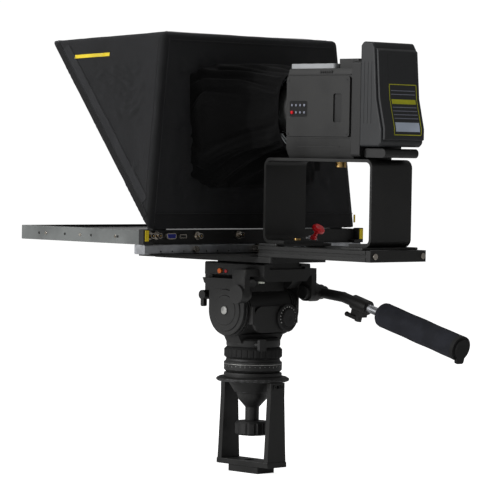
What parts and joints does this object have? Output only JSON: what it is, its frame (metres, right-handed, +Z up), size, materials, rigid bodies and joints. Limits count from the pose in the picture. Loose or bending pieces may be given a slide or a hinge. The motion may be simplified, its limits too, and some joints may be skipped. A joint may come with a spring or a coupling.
{
  "type": "teleprompter",
  "caption": "Hooded teleprompter with monitor and angled glass, cinema camera on a riser bridge, fluid head with pan bar and short bowl stand.",
  "frame": {"origin": "on the pan axis at the underside of the stand's foot", "axes": "+Z up along the pan axis, -Y towards the talent and glass, +Y towards the operator, +X to the side with the camera's key panel"},
  "size_m": [0.526, 0.7096, 0.749],
  "materials": {
    "black_metal": "satin black powder coat over aluminium",
    "head_grey": "dark grey crinkle paint over cast aluminium",
    "light_metal": "bead blasted",
    "case_grey": "satin grey paint over aluminium",
    "black_plastic": "fine texture",
    "battery_plastic": "fine texture",
    "camera_paint": "fine texture",
    "grip_grey": "satin",
    "foam": "closed cell foam",
    "rubber_black": "matt",
    "nickel": "polished",
    "brass": "polished",
    "red_plastic": "gloss",
    "orange_plastic": "gloss",
    "white_plastic": "clear cap",
    "fabric": "woven nylon",
    "yellow": "satin",
    "beam_glass": "part-mirrored",
    "screen_glass": "gloss"
  },
  "bodies": {
    "stand": {"stand_bowl": "head_grey", "stand_legs": "black_metal", "stand_foot": "black_metal", "half_ball": "head_grey", "pan_base": "head_grey"},
    "tie_down": {"tie_down_knob": "black_plastic"},
    "drag_ring": {"pan_drag_ring": "rubber_black"},
    "pan_head": {"pan_yoke": "head_grey"},
    "pan_lock": {"pan_lock_lever": "black_plastic"},
    "dial": {"counterbalance_dial": "black_plastic"},
    "tilt_head": {"tilt_body": "head_grey", "tilt_platform": "head_grey", "cheek_covers": "head_grey", "bubble_level": "white_plastic"},
    "tilt_lock": {"tilt_lock_lever": "black_plastic"},
    "release": {"release_button": "orange_plastic"},
    "safety": {"safety_button": "red_plastic"},
    "bar": {"pan_bar": "black_metal"},
    "bar_knob": {"rosette_knob": "black_plastic"},
    "bar_clamp": {"clamp_lever": "black_metal"},
    "grip": {"bar_tube": "light_metal", "foam_grip": "foam", "grip_cap": "rubber_black"},
    "rig": {"slide_plate": "black_metal", "base_plate": "black_metal", "cross_bar": "light_metal", "neck_plate": "black_metal", "rails": "black_metal", "rail_end_bar": "black_metal", "frame_screws": "nickel", "knob_bracket": "light_metal", "monitor_case": "case_grey", "monitor_cover": "case_grey", "screen_panel": "black_plastic", "screen_glass": "screen_glass", "monitor_sockets": "nickel", "corner_blocks": "black_plastic", "glass_frame": "black_metal", "beam_glass": "beam_glass", "hood_cover": "fabric", "hood_trim": "yellow", "lens_sleeve": "fabric"},
    "lock_knob": {"red_knob": "red_plastic"},
    "bar_screw": {"centre_knob": "nickel"},
    "riser": {"rail_shoes": "black_metal", "riser_bridge": "black_metal", "riser_screws": "brass", "camera_body": "camera_paint", "side_panel": "camera_paint", "camera_keypad": "rubber_black", "camera_top": "light_metal", "camera_grip": "grip_grey", "camera_sockets": "brass", "lens": "black_metal", "battery_plate": "black_plastic"},
    "record": {"record_key": "red_plastic"},
    "grip_wheel": {"grip_dial": "black_plastic"},
    "battery": {"battery_case": "battery_plastic", "battery_cover": "battery_plastic"},
    "battery_catch": {"battery_release": "grip_grey"}
  },
  "joints": [
    {"name": "tie_down_turn", "type": "hinge", "parent": "stand", "child": "tie_down", "pos_m": [0, 0, 0.075], "axis": [0, 0, 1], "continuous": true},
    {"name": "pan_drag_turn", "type": "hinge", "parent": "stand", "child": "drag_ring", "pos_m": [0, 0, 0.206], "axis": [0, 0, 1], "range_deg": [-120, 120]},
    {"name": "pan", "type": "hinge", "parent": "stand", "child": "pan_head", "pos_m": [0, 0, 0.22], "axis": [0, 0, 1], "continuous": true},
    {"name": "pan_lock_turn", "type": "hinge", "parent": "pan_head", "child": "pan_lock", "pos_m": [0.033, 0.055, 0.222], "axis": [0, 1, 0], "range_deg": [0, 90]},
    {"name": "dial_turn", "type": "hinge", "parent": "pan_head", "child": "dial", "pos_m": [-0.026, 0.055, 0.268], "axis": [0, 1, 0], "range_deg": [-150, 150]},
    {"name": "tilt", "type": "hinge", "parent": "pan_head", "child": "tilt_head", "pos_m": [0, 0, 0.28], "axis": [1, 0, 0], "range_deg": [-28, 45]},
    {"name": "tilt_lock_turn", "type": "hinge", "parent": "tilt_head", "child": "tilt_lock", "pos_m": [0.06, -0.057, 0.304], "axis": [1, 0, 0], "range_deg": [-70, 0]},
    {"name": "release_press", "type": "slide", "parent": "tilt_head", "child": "release", "axis": [-1, 0, 0], "range_m": [0, 0.003], "stiffness_N_per_m": 500, "springref_m": -0.001},
    {"name": "safety_press", "type": "slide", "parent": "tilt_head", "child": "safety", "axis": [-1, 0, 0], "range_m": [0, 0.0015], "stiffness_N_per_m": 500, "springref_m": -0.001},
    {"name": "bar_swing", "type": "hinge", "parent": "tilt_head", "child": "bar", "pos_m": [-0.104, 0.05, 0.31], "axis": [1, 0, 0], "range_deg": [-25, 35]},
    {"name": "bar_knob_turn", "type": "hinge", "parent": "bar", "child": "bar_knob", "pos_m": [-0.118, 0.05, 0.31], "axis": [1, 0, 0], "continuous": true},
    {"name": "bar_clamp_turn", "type": "hinge", "parent": "bar", "child": "bar_clamp", "pos_m": [-0.104, 0.14903, 0.26846], "axis": [0, 0.2588, 0.9659], "range_deg": [-90, 0]},
    {"name": "grip_extend", "type": "slide", "parent": "bar", "child": "grip", "axis": [0, 0.9659, -0.2588], "range_m": [0, 0.035]},
    {"name": "plate_slide", "type": "slide", "parent": "tilt_head", "child": "rig", "axis": [0, 1, 0], "range_m": [-0.025, 0.02]},
    {"name": "lock_knob_turn", "type": "hinge", "parent": "rig", "child": "lock_knob", "pos_m": [-0.102, 0.026, 0.384], "axis": [0, 0.5878, 0.809], "continuous": true},
    {"name": "bar_screw_turn", "type": "hinge", "parent": "rig", "child": "bar_screw", "pos_m": [0.003, 0.01, 0.385], "axis": [0, 1, 0], "continuous": true},
    {"name": "riser_slide", "type": "slide", "parent": "rig", "child": "riser", "axis": [0, 1, 0], "range_m": [-0.008, 0.016]},
    {"name": "record_press", "type": "slide", "parent": "riser", "child": "record", "axis": [-1, 0, 0], "range_m": [0, 0.0012], "stiffness_N_per_m": 400, "springref_m": -0.001},
    {"name": "grip_wheel_turn", "type": "hinge", "parent": "riser", "child": "grip_wheel", "pos_m": [-0.075, 0.15, 0.632], "axis": [1, 0, 0], "continuous": true},
    {"name": "battery_lift", "type": "slide", "parent": "riser", "child": "battery", "axis": [0, 0, 1], "range_m": [0, 0.2]},
    {"name": "battery_catch_press", "type": "slide", "parent": "riser", "child": "battery_catch", "axis": [1, 0, 0], "range_m": [0, 0.0015], "stiffness_N_per_m": 500, "springref_m": -0.001}
  ]
}
